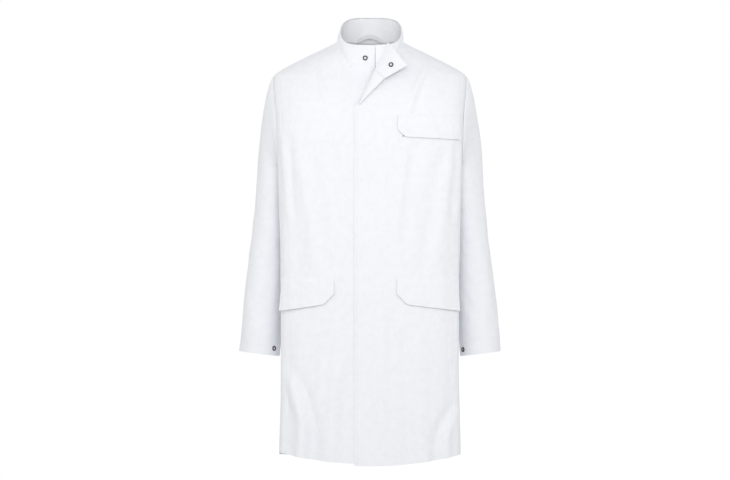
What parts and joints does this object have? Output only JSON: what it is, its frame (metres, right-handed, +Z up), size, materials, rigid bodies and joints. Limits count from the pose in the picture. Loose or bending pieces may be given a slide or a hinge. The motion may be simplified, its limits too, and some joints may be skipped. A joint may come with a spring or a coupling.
{
  "type": "laboratory coat",
  "caption": "Knee-length coat for laboratory work with a stand collar, concealed snap fly, set-in long sleeves and three flapped pockets",
  "frame": {"origin": "the middle of the hanger loop inside the back of the neck, where the coat hangs on a hook", "axes": "+Z up along the hanging coat, the wearer faces -Y, the wearer's left is +X"},
  "size_m": [0.6322, 0.2319, 1.072],
  "materials": {
    "coat_cloth": "white poly-cotton twill with a fine carbon-thread grid, matt",
    "lining_cloth": "the same cloth seen from its inner side, matt",
    "tape": "white herringbone tape",
    "label_cloth": "grey woven label, blank",
    "snap_metal": "dark nickel-plated ring snap"
  },
  "bodies": {
    "torso": {"left_back_panel": "coat_cloth", "right_back_panel": "coat_cloth", "left_front_chest": "coat_cloth", "right_front_chest": "coat_cloth", "chest_pocket_bag": "lining_cloth", "collar_right": "coat_cloth", "collar_left": "coat_cloth", "collar_right_lining": "lining_cloth", "collar_left_lining": "lining_cloth", "collar_stud": "snap_metal", "left_sleeve_cap": "coat_cloth", "right_sleeve_cap": "coat_cloth", "hanger_loop": "tape", "neck_label": "label_cloth", "back_hem": "coat_cloth", "fly_socket_1": "snap_metal", "fly_stud_1": "snap_metal"},
    "left_front": {"left_front_skirt": "coat_cloth", "fly_socket_band": "lining_cloth", "fly_socket_2": "snap_metal", "fly_socket_3": "snap_metal", "fly_socket_4": "snap_metal", "fly_socket_5": "snap_metal", "left_hip_pocket_bag": "lining_cloth", "left_front_hem": "coat_cloth"},
    "right_front": {"right_front_skirt": "coat_cloth", "right_front_facing": "lining_cloth", "fly_stud_2": "snap_metal", "fly_stud_3": "snap_metal", "fly_stud_4": "snap_metal", "fly_stud_5": "snap_metal", "right_hip_pocket_bag": "lining_cloth", "right_front_hem": "coat_cloth"},
    "lapel": {"lapel_collar_end": "coat_cloth", "lapel_front_corner": "coat_cloth", "lapel_socket": "snap_metal"},
    "chest_flap": {"chest_pocket_flap": "coat_cloth"},
    "left_hip_flap": {"left_hip_pocket_flap": "coat_cloth"},
    "right_hip_flap": {"right_hip_pocket_flap": "coat_cloth"},
    "left_arm": {"left_sleeve": "coat_cloth", "left_cuff_hem": "coat_cloth", "left_cuff_socket": "snap_metal", "left_cuff_stud": "snap_metal"},
    "right_arm": {"right_sleeve": "coat_cloth", "right_cuff_hem": "coat_cloth", "right_cuff_socket": "snap_metal", "right_cuff_stud": "snap_metal"}
  },
  "joints": [
    {"name": "left_front_swing", "type": "hinge", "parent": "torso", "child": "left_front", "pos_m": [0.2223, -0.10682, -0.258], "axis": [0.008, 0, 1], "range_deg": [0, 50]},
    {"name": "right_front_swing", "type": "hinge", "parent": "torso", "child": "right_front", "pos_m": [-0.2223, -0.10682, -0.258], "axis": [0.008, 0, -1], "range_deg": [0, 30]},
    {"name": "lapel_fold", "type": "hinge", "parent": "torso", "child": "lapel", "pos_m": [-0.027, -0.17542, -0.171], "axis": [-0.3961, -0.3361, -0.8545], "range_deg": [0, 150]},
    {"name": "chest_flap_lift", "type": "hinge", "parent": "torso", "child": "chest_flap", "pos_m": [0.06997, -0.18876, -0.19265], "axis": [-0.9608, -0.2773, 0], "range_deg": [0, 120]},
    {"name": "left_hip_flap_lift", "type": "hinge", "parent": "left_front", "child": "left_hip_flap", "pos_m": [0.06888, -0.19102, -0.58401], "axis": [-0.9537, -0.3007, 0], "range_deg": [0, 120]},
    {"name": "right_hip_flap_lift", "type": "hinge", "parent": "right_front", "child": "right_hip_flap", "pos_m": [-0.09079, -0.18715, -0.58401], "axis": [-0.9418, 0.3361, 0], "range_deg": [0, 120]},
    {"name": "left_sleeve_raise", "type": "hinge", "parent": "torso", "child": "left_arm", "pos_m": [0.2737, -0.009, -0.3197], "axis": [0, -1, 0], "range_deg": [0, 60]},
    {"name": "right_sleeve_raise", "type": "hinge", "parent": "torso", "child": "right_arm", "pos_m": [-0.2737, -0.009, -0.3197], "axis": [0, 1, 0], "range_deg": [0, 60]}
  ],
  "couplings": [
    {"joint": "right_front_swing", "follows": "left_front_swing", "ratio": 0.6}
  ]
}
